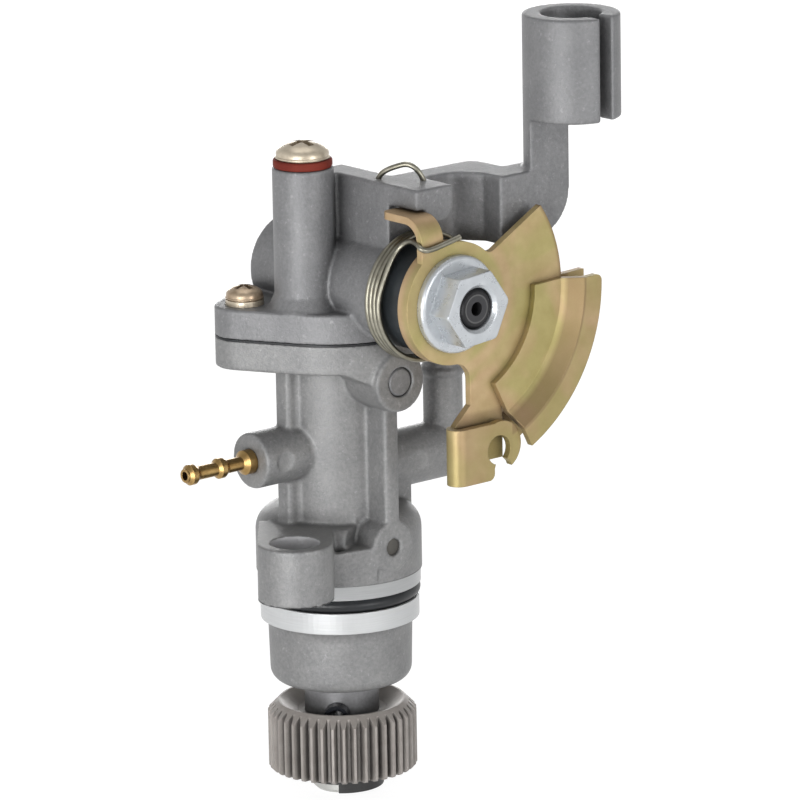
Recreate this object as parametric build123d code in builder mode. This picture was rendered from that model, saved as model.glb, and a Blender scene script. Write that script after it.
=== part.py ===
from build123d import *
import os
from math import atan2, cos, radians, sin, sqrt

# Mechanical oil pump of a small two-stroke engine, in millimetres.
# The origin is on the pump axis, in the plane where the body seats on the crankcase. +Z points up along
# the barrel, the lever shaft runs along Y with its nut on the -Y side, and the nipple points to -X.

# Clearances
press_gap = 0.01
seat_gap = 0.02
running_gap = 0.05
thread_gap = 0.05

# Collar that enters the crankcase, from the seat down
collar_r = 12.0
collar_h = 2.1
groove_h = 2.1
band_r = 11.7
band_h = 3.1
skirt_r = 10.65
skirt_h = 9.7
skirt_draft = 0.25
skirt_round = 2.0
ring_section_r = 0.95
ring_stand_out = 0.1

# Body casting above the seat
casting_r = 12.2
casting_h = 9.4
casting_round = 3.4
barrel_r = 8.5
barrel_top = 32.2
rib_round = 0.7
side_rib_t = 3.0
side_rib_reach = 10.4
front_rib_t = 2.7
front_rib_reach = 12.7
ear_x = -15.9
ear_y = -9.4
ear_r = 5.5
ear_turn = 50.0
ear_h = 8.4
ear_hole_r = 3.55
floor_r = 12.5
pocket_z = 5.9
pocket_start = 1.5
gusset_low = 0.6
gusset_lean = 2.6
gusset_wall = 1.6

# Bosses of the body
pin_boss_r = 3.8
pin_boss_z = 5.4
pin_boss_reach = 12.7
plug_boss_r = 4.45
plug_boss_z = 30.4
plug_boss_reach = 14.8
plug_gusset = 3.6
nipple_boss_r = 4.1
nipple_boss_z = 18.8
nipple_boss_reach = 16.3
mark_r = 1.5
mark_depth = 0.35
boss_mark_x = -13.0
strut_mark_x = 12.1
strut_r = 4.3
strut_z = 14.2
strut_round = 1.2
web_t = 7.0
web_reach = 11.3
stand_x = 20.5
stand_r = 2.95
stand_ring_r = 3.35
stand_ring_z = 25.7
stand_ring_h = 1.0
stand_top = 30.5
hose_r = 2.3
hose_barb_r = 2.75
hose_top = 38.5
hose_barb_h = 3.0
inlet_bore_r = 1.5

# Screw flange, shared by the body, the gasket and the cover
flange_t = 4.35
flange_r = 14.5
lobe_r = 4.4
lobe_offset = 14.2
lobe_angle = 165.0
gasket_t = 0.3
cover_t = 4.35

# Rotating shaft, seal and gear
shaft_r = 5.5
shaft_neck_r = 4.2
shaft_tail_r = 4.5
shaft_shoulder_z = -2.6
shaft_top = 1.5
shaft_tail_top = -24.2
shaft_bottom = -33.8
shaft_slot_w = 2.5
shaft_slot_h = 2.5
seal_r = 8.0
seal_h = 3.1
seal_lip_h = 0.8
chamber_r = 6.2
washer_t = 0.5
clip_t = 0.8
clip_groove_d = 0.5
clip_wide = 1.6
gear_teeth = 42
gear_module = 0.5
gear_bottom = -30.4
gear_top = -20.3
gear_rim_r = 9.4
gear_rim_t = 0.3
gear_chamfer_h = 1.7
gear_seat_r = 6.6
gear_seat_z = -21.9
gear_boss_r = 6.0
gear_boss_bottom = -33.3
gear_boss_step = 1.3
roll_pin_r = 1.85
roll_pin_wall = 0.6
roll_pin_z = -21.3
roll_pin_half = 7.5
roll_pin_angle = 223.4

# Plunger, its sleeve and its spring
plunger_r = 2.95
plunger_top = 34.0
plunger_tip_r = 2.0
plunger_tip_top = 38.9
cam_r = 5.0
cam_bottom = 1.9
cam_top = 8.4
track_low = 2.7
track_high = 6.7
track_rise = 0.6
track_floor_r = 3.0
tang_w = 2.3
tang_bottom = -0.9
sleeve_bottom = 12.0
sleeve_top = 31.0
port_r = 0.9
plunger_spring_r = 3.9
plunger_spring_wire = 0.4
plunger_spring_turns = 3
guide_pin_r = 1.25
guide_pin_z = 5.25
guide_pin_inset = 0.5
plug_r = 2.2
plug_inset = 0.1
plug_chamfer = 0.35
plug_length = 3.2

# Outlet valve and nipple, along -X
valve_face = 8.6
valve_bore_r = 1.6
ball_r = 1.45
nipple_shank = 2.8
nipple_collar_r = 1.8
nipple_collar_t = 1.3
nipple_neck_r = 1.0
nipple_barb_r = 1.5
nipple_barbs = (22.1, 27.4)
nipple_tip = 28.4
nipple_bore_r = 0.65
check_wire = 0.15
check_coil_r = 1.1
check_turns = 4

# Cover casting
lever_z = 44.2
cylinder_r = 7.6
cylinder_back = 10.0
relief_wall = 1.4
cylinder_front = -17.5
bleed_x = -8.2
bleed_y = -3.5
bleed_r = 4.45
bleed_top = 61.8
bleed_foot = 1.0
beam_top = 60.4
beam_bottom = 50.4
web_left = -3.5
web_right = 1.1
web_front = -16.0
web_back = -1.0
lug_right = 3.4
lug_front = -23.05
lug_bottom = 57.4
lobe_left = -1.8
lobe_bottom = 55.3
arm_front = -16.8
arm_back = -12.1
arm_out_x = 16.5
block_left = 11.3
block_right = 24.5
block_front = -24.3
block_back = -18.5
block_round = 6.8
holder_x = 24.06
holder_y = -25.5
holder_r = 7.1
holder_bore_r = 4.4
holder_bottom = 67.7
holder_top = 82.9
holder_slot_w = 2.4
holder_slot_angle = 275.0

# Control shaft, return spring, lever and nut, along -Y
control_r = 4.0
control_back = 11.8
eccentric_r = 3.25
eccentric_offset = 0.7
eccentric_half = 4.0
tip_bore_r = 2.6
control_clip_y = 10.15
control_clip_wide = 1.5
control_seal_y = -13.0
control_seal_section = 0.6
stud_r = 3.0
stud_chamfer = 0.5
stud_front = -31.8
stud_hole_r = 1.0
flats_w = 6.2
bush_r = 7.9
bush_back = -17.8
spring_r = 9.2
spring_wire = 0.4
spring_back = -18.1
spring_pitch = 0.84
spring_turns = 3
spring_tail = 0.6
leg_gap = 0.15
leg_over = 2.5
leg_side = 2.0
arch_rise = 2.1
plate_back = -26.0
plate_t = 1.1
hub_r = 8.95
hub_back = -25.0
quadrant_r = 20.2
quadrant_top_angle = 35.5
notch_angle = 43.0
notch_round = 1.6
flange_out_r = 25.2
flange_jog = 0.7
jog_r = 18.6
jog_run = 1.4
channel_t = 1.0
channel_in_r = 14.3
channel_fold_r = 19.7
channel_rise_r = 22.2
channel_out_r = 25.1
channel_lift = 2.3
channel_round = 1.0
channel_top_angle = 2.0
channel_low_angle = -63.0
neck_x = 2.65
neck_round = 2.8
tab_left = -6.0
tab_right = -2.0
tab_top = 57.2
tab_bend = 2.5
tab_reach = -18.2
tab_round = 1.2
fold_x = -0.3
fold_r = 1.7
leaf_top = 26.0
leaf_bottom = 17.7
leaf_right = 5.1
leaf_round = 1.0
back_leaf_right = 8.6
back_leaf_low = 20.1
hook_x = 6.4
hook_z = 22.5
hook_r = 3.7
hook_slot_r = 2.15
hook_slot_x = 5.95
hook_slot_z = 22.0
nut_flange_r = 7.1
nut_flange_t = 1.2
nut_hex = 10.0
nut_turn = 5.0
nut_front = -32.2
nut_chamfer = 0.9
nut_face_r = 5.55
nut_sink = 0.5

# Screws
screw_r = 1.5
screw_head_r = 2.8
screw_head_h = 2.0
screw_head_round = 0.9
screw_end_z = 33.0
lock_t = 0.8
lock_split = 0.5
bleed_screw_r = 2.5
bleed_head_r = 4.0
bleed_head_h = 2.5
bleed_head_round = 1.3
bleed_thread = 7.0
bleed_washer_t = 1.2
bleed_washer_r = 4.3
recess_w = 0.8
recess_half = 1.6
recess_depth = 1.2
bleed_recess_w = 1.1
bleed_recess_half = 2.2
bleed_recess_depth = 1.3

# Heights that follow
groove_top = -collar_h
groove_low = groove_top - groove_h
band_low = groove_low - band_h
skirt_low = band_low - skirt_h
groove_r = collar_r - ring_stand_out - 2 * ring_section_r - seat_gap
body_top = barrel_top + flange_t
cover_low = body_top + gasket_t
cover_top = cover_low + cover_t
plate_front = plate_back - plate_t
flank = Vector(cos(radians(ear_turn)), sin(radians(ear_turn)))
ear_corner = Vector(ear_x, ear_y) + ear_r * Vector(sin(radians(ear_turn)), -cos(radians(ear_turn)))
thrust_z = shaft_shoulder_z + running_gap * 2
lobe_spots = [(lobe_offset * cos(radians(a)), lobe_offset * sin(radians(a)))
              for a in (lobe_angle, lobe_angle + 180)]

os.makedirs("parts", exist_ok=True)


def bar(radius, start, direction, length, mode=Mode.ADD):
    """Cylinder that begins at a point and runs along a direction."""
    with Locations(Plane(origin=start, z_dir=direction)):
        Cylinder(radius, length, align=(Align.CENTER, Align.CENTER, Align.MIN), mode=mode)


def slab(x, y, z, mode=Mode.ADD):
    """Box between three pairs of limits."""
    middle = [(low + high) / 2 for low, high in (x, y, z)]
    with Locations(Location(middle)):
        Box(*[high - low for low, high in (x, y, z)], mode=mode)


def flange_outline(z):
    """Round flange with a lobe for each screw."""
    with BuildSketch(Plane.XY.offset(z)) as outline:
        Circle(flange_r)
        with Locations(*lobe_spots):
            Circle(lobe_r)
        make_hull()
    return outline.sketch


def coil(radius, wire, start, direction, pitch, turns):
    """Open coil of round wire."""
    path = Edge.make_helix(pitch, pitch * turns, radius, start, direction)
    with BuildPart() as wound:
        with BuildSketch(Plane(origin=path @ 0, z_dir=path % 0)):
            Circle(wire)
        sweep(path=path, is_frenet=True)
    return wound.part


def save(part, label):
    """Name a finished piece and write it out."""
    part.label = label
    export_step(part, "parts/" + label + ".step")


# Sloping web that joins the plug boss to the flange above it
with BuildPart() as plug_web:
    with BuildSketch(Plane.XZ.offset(barrel_r - 1)):
        Polygon((-plug_boss_r, plug_boss_z), (-plug_boss_r - plug_gusset, barrel_top),
                (-plug_boss_r - plug_gusset, body_top - 1), (0, body_top - 1), (0, plug_boss_z), align=None)
    extrude(amount=plug_boss_reach)
    with BuildSketch(Plane.XY.offset(plug_boss_z)):
        reach = sqrt(flange_r ** 2 - (plug_boss_r + plug_gusset) ** 2)
        Polygon((-plug_boss_r - plug_gusset, 0), (-plug_boss_r - plug_gusset, -reach),
                (-plug_boss_r, -plug_boss_reach + 1), (0, -plug_boss_reach + 1), (0, 0), align=None)
    extrude(amount=flange_t * 2, mode=Mode.INTERSECT)

# Body casting
with BuildPart() as pump_body:
    with BuildSketch(Plane.XZ):
        with BuildLine():
            Polyline((0, skirt_low), (skirt_r - skirt_draft, skirt_low), (skirt_r, band_low), (band_r, band_low),
                     (band_r, groove_low), (groove_r, groove_low), (groove_r, groove_top),
                     (collar_r, groove_top), (collar_r, 0), (casting_r, 0), (casting_r, casting_h),
                     (0, casting_h), close=True)
        make_face()
        fillet(vertices().sort_by_distance((casting_r, casting_h))[0], casting_round)
        fillet(vertices().sort_by_distance((skirt_r - skirt_draft, skirt_low))[0], skirt_round)
    revolve(axis=Axis.Z)
    bar(floor_r, (ear_x, ear_y, ear_h), (0, 0, 1), casting_h - ear_h, Mode.SUBTRACT)
    with BuildSketch(Plane.XY):
        with Locations(Location((ear_x, ear_y), ear_turn)):
            Circle(ear_r)
            Rectangle(casting_r, 2 * ear_r, align=(Align.MIN, Align.CENTER))
    extrude(amount=ear_h)
    with BuildSketch(Plane.XY.offset(pocket_z)):
        Polygon(ear_corner + flank * pocket_start, (front_rib_t / -2, -barrel_r + front_rib_t / 2),
                (front_rib_t / -2, -2 * casting_r), (ear_corner.X, -2 * casting_r), align=None)
    extrude(amount=casting_h - pocket_z, mode=Mode.SUBTRACT)
    with BuildSketch(Plane.XY.offset(casting_h - casting_round)):
        Circle(barrel_r)
        with Locations((-side_rib_reach / 2, 0)):
            Rectangle(side_rib_reach, side_rib_t)
        with Locations((0, side_rib_reach / 2)):
            Rectangle(side_rib_t, side_rib_reach)
        with Locations((0, -front_rib_reach / 2)):
            Rectangle(front_rib_t, front_rib_reach)
        fillet(vertices(), rib_round)
    extrude(amount=barrel_top - casting_h + casting_round)
    extrude(flange_outline(barrel_top), amount=flange_t)
    for height, out in ((gusset_low, 0), (pocket_z, gusset_lean)):
        near = ear_corner + flank * (2 * gusset_lean - gusset_wall / 2 - out)
        far = Vector(-pin_boss_r * 0.75, -casting_r - out / 5)
        with BuildSketch(Plane.XY.offset(height)):
            Polygon(near + flank * gusset_wall, near, far, far + Vector(0, gusset_wall), align=None)
    loft()
    bar(pin_boss_r, (0, 0, pin_boss_z), (0, -1, 0), pin_boss_reach)
    bar(plug_boss_r, (0, 0, plug_boss_z), (0, -1, 0), plug_boss_reach)
    add(plug_web.part)
    bar(nipple_boss_r, (0, 0, nipple_boss_z), (-1, 0, 0), nipple_boss_reach)
    with BuildSketch(Plane.XZ.offset(-web_t / 2)):
        with BuildLine():
            Polyline((0, casting_h - casting_round), (web_reach, casting_h - casting_round),
                     (web_reach, strut_z), (0, strut_z), close=True)
        make_face()
    extrude(amount=web_t)
    with BuildSketch(Plane.XZ):
        with BuildLine():
            Polyline((0, strut_z), (0, strut_z + strut_r), (stand_x + stand_r, strut_z + strut_r),
                     (stand_x + stand_r, strut_z), close=True)
        make_face()
        fillet(vertices().sort_by_distance((stand_x + stand_r, strut_z + strut_r))[0], strut_round)
    revolve(axis=Axis((0, 0, strut_z), (1, 0, 0)))
    with BuildSketch(Plane.XZ):
        with BuildLine():
            Polyline((stand_x, strut_z), (stand_x + stand_r, strut_z), (stand_x + stand_r, stand_ring_z),
                     (stand_x + stand_ring_r, stand_ring_z),
                     (stand_x + stand_ring_r, stand_ring_z + stand_ring_h),
                     (stand_x + stand_r, stand_ring_z + stand_ring_h), (stand_x + stand_r, stand_top),
                     (stand_x + hose_r, stand_top), (stand_x + hose_r, hose_top - hose_barb_h),
                     (stand_x + hose_barb_r, hose_top - hose_barb_h), (stand_x + hose_r, hose_top),
                     (stand_x, hose_top), close=True)
        make_face()
    revolve(axis=Axis((stand_x, 0, 0), (0, 0, 1)))
    bar(inlet_bore_r, (stand_x, 0, strut_z), (0, 0, 1), hose_top - strut_z, Mode.SUBTRACT)
    bar(inlet_bore_r, (0, 0, strut_z), (1, 0, 0), stand_x, Mode.SUBTRACT)
    bar(valve_bore_r, (-valve_face, 0, nipple_boss_z), (-1, 0, 0), nipple_boss_reach, Mode.SUBTRACT)
    bar(port_r, (0, 0, nipple_boss_z), (-1, 0, 0), nipple_boss_reach, Mode.SUBTRACT)
    bar(guide_pin_r + press_gap, (0, 0, guide_pin_z), (0, -1, 0), pin_boss_reach, Mode.SUBTRACT)
    bar(plug_r + press_gap, (0, plug_inset + plug_length - plug_boss_reach, plug_boss_z), (0, -1, 0),
        plug_boss_reach, Mode.SUBTRACT)
    bar(mark_r, (boss_mark_x, mark_depth - nipple_boss_r, nipple_boss_z), (0, -1, 0), mark_r, Mode.SUBTRACT)
    bar(mark_r, (strut_mark_x, mark_depth - strut_r, strut_z), (0, -1, 0), mark_r, Mode.SUBTRACT)
    bar(ear_hole_r, (ear_x, ear_y, 0), (0, 0, 1), ear_h, Mode.SUBTRACT)
    for x, y in lobe_spots:
        bar(screw_r + thread_gap, (x, y, barrel_top), (0, 0, 1), flange_t, Mode.SUBTRACT)
    bar(chamber_r, (0, 0, shaft_shoulder_z), (0, 0, 1), body_top - shaft_shoulder_z, Mode.SUBTRACT)
    bar(shaft_r + running_gap, (0, 0, skirt_low), (0, 0, 1), shaft_shoulder_z - skirt_low, Mode.SUBTRACT)
    bar(seal_r, (0, 0, skirt_low), (0, 0, 1), seal_h, Mode.SUBTRACT)
save(pump_body.part, "pump_body")

with BuildPart() as collar_o_ring:
    with BuildSketch(Plane.XZ):
        with Locations((groove_r + seat_gap + ring_section_r, (groove_top + groove_low) / 2)):
            Circle(ring_section_r)
    revolve(axis=Axis.Z)
save(collar_o_ring.part, "collar_o_ring")

with BuildPart() as shaft_seal:
    with BuildSketch(Plane.XZ):
        with BuildLine():
            Polyline((seal_r - seat_gap, skirt_low), (seal_r - seat_gap, skirt_low + seal_h - seat_gap),
                     (shaft_r + running_gap, skirt_low + seal_h - seat_gap),
                     (shaft_r + running_gap, skirt_low + seal_h - seal_lip_h),
                     (shaft_r + seal_lip_h, skirt_low + seal_h - 2 * seal_lip_h),
                     (shaft_r + seal_lip_h, skirt_low), close=True)
        make_face()
    revolve(axis=Axis.Z)
save(shaft_seal.part, "shaft_seal")

with BuildPart() as guide_pin:
    bar(guide_pin_r, (0, -track_floor_r - 0.25, guide_pin_z), (0, -1, 0),
        pin_boss_reach - guide_pin_inset - track_floor_r - 0.25)
save(guide_pin.part, "guide_pin")

with BuildPart() as oilway_plug:
    bar(plug_r, (0, plug_inset + plug_length - plug_boss_reach - seat_gap, plug_boss_z), (0, -1, 0),
        plug_length)
    chamfer(edges().group_by(Axis.Y)[0], plug_chamfer)
save(oilway_plug.part, "oilway_plug")

# Drive shaft and what turns with it
with BuildPart() as drive_shaft:
    with BuildSketch(Plane.XZ):
        with BuildLine():
            Polyline((0, shaft_bottom), (shaft_tail_r, shaft_bottom), (shaft_tail_r, shaft_tail_top),
                     (shaft_r, shaft_tail_top), (shaft_r, shaft_shoulder_z - running_gap),
                     (shaft_neck_r, shaft_shoulder_z - running_gap), (shaft_neck_r, shaft_top),
                     (0, shaft_top), close=True)
        make_face()
        chamfer(vertices().sort_by_distance((shaft_tail_r, shaft_bottom))[0], 0.5)
    revolve(axis=Axis.Z)
    slab((-shaft_neck_r, shaft_neck_r), (-shaft_slot_w / 2, shaft_slot_w / 2),
         (shaft_top - shaft_slot_h, shaft_top), Mode.SUBTRACT)
    with BuildSketch(Plane.XY.offset(thrust_z + washer_t + seat_gap)):
        Circle(shaft_neck_r)
        Circle(shaft_neck_r - clip_groove_d, mode=Mode.SUBTRACT)
    extrude(amount=clip_t, mode=Mode.SUBTRACT)
    pin_dir = Vector(cos(radians(roll_pin_angle)), sin(radians(roll_pin_angle)), 0)
    bar(roll_pin_r + press_gap, pin_dir * -2 * shaft_r + Vector(0, 0, roll_pin_z), pin_dir, 4 * shaft_r,
        Mode.SUBTRACT)
save(drive_shaft.part, "drive_shaft")

with BuildPart() as drive_pin:
    bar(roll_pin_r, pin_dir * -roll_pin_half + Vector(0, 0, roll_pin_z), pin_dir, 2 * roll_pin_half)
    bar(roll_pin_r - roll_pin_wall, pin_dir * -roll_pin_half + Vector(0, 0, roll_pin_z), pin_dir,
        2 * roll_pin_half, Mode.SUBTRACT)
save(drive_pin.part, "drive_pin")

with BuildPart() as thrust_washer:
    with BuildSketch(Plane.XY.offset(thrust_z)):
        Circle(chamber_r - running_gap)
        Circle(shaft_neck_r + seat_gap, mode=Mode.SUBTRACT)
    extrude(amount=washer_t)
save(thrust_washer.part, "thrust_washer")

with BuildPart() as shaft_circlip:
    with BuildSketch(Plane.XY.offset(thrust_z + washer_t + seat_gap)):
        Circle(shaft_neck_r - clip_groove_d + seat_gap + clip_wide)
        Circle(shaft_neck_r - clip_groove_d + seat_gap, mode=Mode.SUBTRACT)
        with Locations((0, shaft_neck_r)):
            Rectangle(shaft_slot_w, 2 * clip_wide, mode=Mode.SUBTRACT)
    extrude(amount=clip_t - seat_gap)
save(shaft_circlip.part, "shaft_circlip")

pitch_r = gear_module * gear_teeth / 2
tip_r = pitch_r + gear_module
root_r = pitch_r - 1.25 * gear_module
with BuildPart() as drive_gear:
    with BuildSketch(Plane.XY.offset(gear_bottom)):
        Circle(root_r)
        with PolarLocations(0, gear_teeth):
            Polygon((root_r - 0.1, -1.1 * gear_module), (pitch_r, -0.78 * gear_module),
                    (tip_r, -0.36 * gear_module), (tip_r, 0.36 * gear_module),
                    (pitch_r, 0.78 * gear_module), (root_r - 0.1, 1.1 * gear_module), align=None)
    extrude(amount=gear_top - gear_bottom)
    with BuildSketch(Plane.XZ):
        with BuildLine():
            Polyline((0, gear_bottom), (tip_r - 0.3, gear_bottom), (tip_r + 0.05, gear_bottom + 0.35),
                     (tip_r + 0.05, gear_top - gear_chamfer_h), (gear_rim_r, gear_top), (0, gear_top),
                     close=True)
        make_face()
    revolve(axis=Axis.Z, mode=Mode.INTERSECT)
    bar(gear_boss_r, (0, 0, gear_boss_bottom), (0, 0, 1), gear_bottom - gear_boss_bottom)
    with BuildSketch(Plane.XY.offset(gear_boss_bottom)):
        with Locations(Location((0, 0), roll_pin_angle - 90)):
            Rectangle(gear_boss_r, 2 * gear_boss_r, align=(Align.MIN, Align.CENTER))
    extrude(amount=gear_boss_step, mode=Mode.SUBTRACT)
    with Locations((0, 0, gear_seat_z)):
        Cone(gear_seat_r, gear_rim_r - gear_rim_t, gear_top - gear_seat_z,
             align=(Align.CENTER, Align.CENTER, Align.MIN), mode=Mode.SUBTRACT)
    bar(shaft_tail_r + seat_gap, (0, 0, gear_boss_bottom), (0, 0, 1), gear_top - gear_boss_bottom,
        Mode.SUBTRACT)
    bar(shaft_r + seat_gap, (0, 0, shaft_tail_top - seat_gap), (0, 0, 1), gear_top - shaft_tail_top,
        Mode.SUBTRACT)
    with BuildSketch(Plane.XY.offset(roll_pin_z - roll_pin_r - seat_gap)):
        with Locations(Location((0, 0), roll_pin_angle)):
            Rectangle(2 * (roll_pin_half + seat_gap), 2 * (roll_pin_r + seat_gap))
    extrude(amount=2 * roll_pin_r, mode=Mode.SUBTRACT)
save(drive_gear.part, "drive_gear")

# Plunger group
with BuildPart() as plunger:
    bar(cam_r, (0, 0, cam_bottom), (0, 0, 1), cam_top - cam_bottom)
    with BuildSketch(Plane.XZ.offset(-cam_r)):
        with BuildLine():
            Polyline((-cam_r, track_low), (cam_r, track_low), (cam_r, track_high),
                     (-cam_r, track_high + track_rise), close=True)
        make_face()
    extrude(amount=2 * cam_r, mode=Mode.SUBTRACT)
    bar(track_floor_r, (0, 0, cam_bottom), (0, 0, 1), cam_top - cam_bottom)
    slab((-3.0, 3.0), (-tang_w / 2, tang_w / 2), (tang_bottom, cam_bottom))
    bar(plunger_r, (0, 0, cam_top), (0, 0, 1), plunger_top - cam_top)
    bar(plunger_tip_r, (0, 0, plunger_top), (0, 0, 1), plunger_tip_top - plunger_top)
    slab((plunger_r - 0.6, plunger_r), (-1.1, 1.1), (strut_z, plunger_top), Mode.SUBTRACT)
save(plunger.part, "plunger")

with BuildPart() as plunger_sleeve:
    bar(chamber_r - press_gap, (0, 0, sleeve_bottom), (0, 0, 1), sleeve_top - sleeve_bottom)
    bar(plunger_r + running_gap, (0, 0, sleeve_bottom), (0, 0, 1), sleeve_top - sleeve_bottom, Mode.SUBTRACT)
    bar(inlet_bore_r, (0, 0, strut_z), (1, 0, 0), chamber_r, Mode.SUBTRACT)
    bar(port_r, (0, 0, nipple_boss_z), (-1, 0, 0), chamber_r, Mode.SUBTRACT)
save(plunger_sleeve.part, "plunger_sleeve")

spring_room = sleeve_bottom - cam_top - 2 * (plunger_spring_wire + seat_gap)
with BuildPart() as plunger_spring:
    add(coil(plunger_spring_r, plunger_spring_wire, (0, 0, cam_top + plunger_spring_wire + seat_gap), (0, 0, 1),
             spring_room / plunger_spring_turns, plunger_spring_turns))
save(plunger_spring.part, "plunger_spring")

# Outlet valve and nipple
ball_x = valve_face + sqrt(ball_r ** 2 - port_r ** 2) + seat_gap
with BuildPart() as check_ball:
    with Locations((-ball_x, 0, nipple_boss_z)):
        Sphere(ball_r)
save(check_ball.part, "check_ball")

nipple_inner = nipple_boss_reach - nipple_shank
coil_near = ball_x + sqrt((ball_r + check_wire + seat_gap) ** 2 - check_coil_r ** 2)
coil_far = nipple_inner - check_wire - seat_gap
with BuildPart() as check_spring:
    add(coil(check_coil_r, check_wire, (-coil_near, 0, nipple_boss_z), (-1, 0, 0),
             (coil_far - coil_near) / check_turns, check_turns))
save(check_spring.part, "check_spring")

with BuildPart() as outlet_nipple:
    with BuildSketch(Plane.XZ):
        with BuildLine():
            outline = [(-nipple_inner, nipple_bore_r), (-nipple_inner, valve_bore_r - press_gap),
                       (-nipple_boss_reach, valve_bore_r - press_gap), (-nipple_boss_reach, nipple_collar_r),
                       (-nipple_boss_reach - nipple_collar_t, nipple_collar_r),
                       (-nipple_boss_reach - nipple_collar_t - 0.6, nipple_neck_r)]
            for barb in nipple_barbs:
                outline += [(-barb + 1.3, nipple_neck_r), (-barb + 0.5, nipple_barb_r),
                            (-barb - 0.3, nipple_barb_r), (-barb - 0.7, nipple_neck_r)]
            outline += [(-nipple_tip, nipple_neck_r), (-nipple_tip, nipple_bore_r)]
            Polyline(*[(x, z + nipple_boss_z) for x, z in outline], close=True)
        make_face()
    revolve(axis=Axis((0, 0, nipple_boss_z), (-1, 0, 0)))
save(outlet_nipple.part, "outlet_nipple")

# Gasket and cover casting
with BuildPart() as cover_gasket:
    extrude(flange_outline(body_top), amount=gasket_t)
    bar(chamber_r, (0, 0, body_top), (0, 0, 1), gasket_t, Mode.SUBTRACT)
    for x, y in lobe_spots:
        bar(screw_r + thread_gap, (x, y, body_top), (0, 0, 1), gasket_t, Mode.SUBTRACT)
save(cover_gasket.part, "cover_gasket")

with BuildPart() as top_cover:
    extrude(flange_outline(cover_low), amount=cover_t)
    bar(cylinder_r, (0, cylinder_back, lever_z), (0, -1, 0), cylinder_back - cylinder_front)
    slab((-cylinder_r, cylinder_r), (cylinder_front, cylinder_back), (lever_z - 2 * cylinder_r, cover_low),
         Mode.SUBTRACT)
    bar(bleed_r, (bleed_x, bleed_y, cover_low), (0, 0, 1), bleed_top - cover_low)
    with Locations((bleed_x, bleed_y, cover_top)):
        Cone(bleed_r + bleed_foot, bleed_r, 2 * bleed_foot, align=(Align.CENTER, Align.CENTER, Align.MIN))
    slab((web_left, web_right), (web_front, web_back), (lever_z, beam_top))
    slab((bleed_x, web_left), (bleed_y - 2.0, bleed_y + 2.0), (lever_z, beam_top))
    with BuildSketch(Plane.XZ.offset(-web_front)):
        with BuildLine():
            Polyline((web_left, beam_top), (lug_right, beam_top), (lug_right, lobe_bottom),
                     (lobe_left, lobe_bottom), (lobe_left, lug_bottom), (web_left, lug_bottom), close=True)
        make_face()
        fillet(vertices().sort_by_distance((lug_right, lobe_bottom))[0], 2.0)
        fillet(vertices().sort_by_distance((lobe_left, lobe_bottom))[0], 1.2)
    extrude(amount=web_front - lug_front)
    with BuildSketch(Plane.XY.offset(beam_bottom)):
        with BuildLine():
            Polyline((web_left, arm_front), (block_left - 2.7, arm_front), (block_left, arm_front - 3.8),
                     (block_left, block_front), (block_left + 5.6, block_front), (arm_out_x, arm_back),
                     (web_left, arm_back), close=True)
        make_face()
        fillet(vertices().sort_by_distance((block_left - 2.7, arm_front))[0], 2.6)
        fillet(vertices().sort_by_distance((arm_out_x, arm_back))[0], 2.0)
    extrude(amount=beam_top - beam_bottom)
    with BuildSketch(Plane.XZ.offset(-block_back)):
        with Locations(((block_left + block_right) / 2, (beam_bottom + beam_top) / 2)):
            Rectangle(block_right - block_left, beam_top - beam_bottom)
        fillet(vertices().sort_by_distance((block_right, beam_bottom))[0], block_round)
    extrude(amount=block_back - block_front)
    with BuildSketch(Plane.XY.offset(beam_top)):
        with Locations((holder_x, holder_y)):
            Circle(holder_r)
        with Locations((block_right, block_front)):
            Rectangle(2 * holder_r, 2 * holder_r, align=(Align.MAX, Align.MIN), mode=Mode.INTERSECT)
    extrude(amount=holder_bottom - beam_top)
    with BuildSketch(Plane.XY.offset(holder_bottom)):
        with Locations((holder_x, holder_y)):
            Circle(holder_r)
            Circle(holder_bore_r, mode=Mode.SUBTRACT)
        with Locations(Location((holder_x, holder_y), holder_slot_angle)):
            Rectangle(2 * holder_r, holder_slot_w, align=(Align.MIN, Align.CENTER), mode=Mode.SUBTRACT)
    extrude(amount=holder_top - holder_bottom)
    bar(control_r + running_gap, (0, cylinder_back, lever_z), (0, -1, 0), cylinder_back - cylinder_front,
        Mode.SUBTRACT)
    bar(cylinder_r - relief_wall, (0, cylinder_back, lever_z), (0, 1, 0), flange_r, Mode.SUBTRACT)
    bar(tip_bore_r, (0, 0, cover_low), (0, 0, 1), lever_z - cover_low, Mode.SUBTRACT)
    bar(bleed_screw_r + thread_gap, (bleed_x, bleed_y, bleed_top - bleed_thread - 1), (0, 0, 1),
        bleed_thread + 1, Mode.SUBTRACT)
    bar(1.2, (bleed_x, bleed_y, cover_top), (0, 0, 1), bleed_top - cover_top, Mode.SUBTRACT)
    for x, y in lobe_spots:
        bar(screw_r + thread_gap, (x, y, cover_low), (0, 0, 1), cover_t, Mode.SUBTRACT)
save(top_cover.part, "top_cover")

# Fasteners of the cover
with BuildPart() as cover_screws:
    for x, y in lobe_spots:
        bar(screw_r, (x, y, screw_end_z), (0, 0, 1), cover_top + lock_t - screw_end_z)
        bar(screw_head_r, (x, y, cover_top + lock_t), (0, 0, 1), screw_head_h)
    fillet(edges().filter_by(GeomType.CIRCLE).group_by(Axis.Z)[-1], screw_head_round)
    for x, y in lobe_spots:
        top = cover_top + lock_t + screw_head_h
        for wide, deep in ((recess_half, recess_w / 2), (recess_w / 2, recess_half)):
            slab((x - wide, x + wide), (y - deep, y + deep), (top - recess_depth, top), Mode.SUBTRACT)
save(cover_screws.part, "cover_screws")

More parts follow.
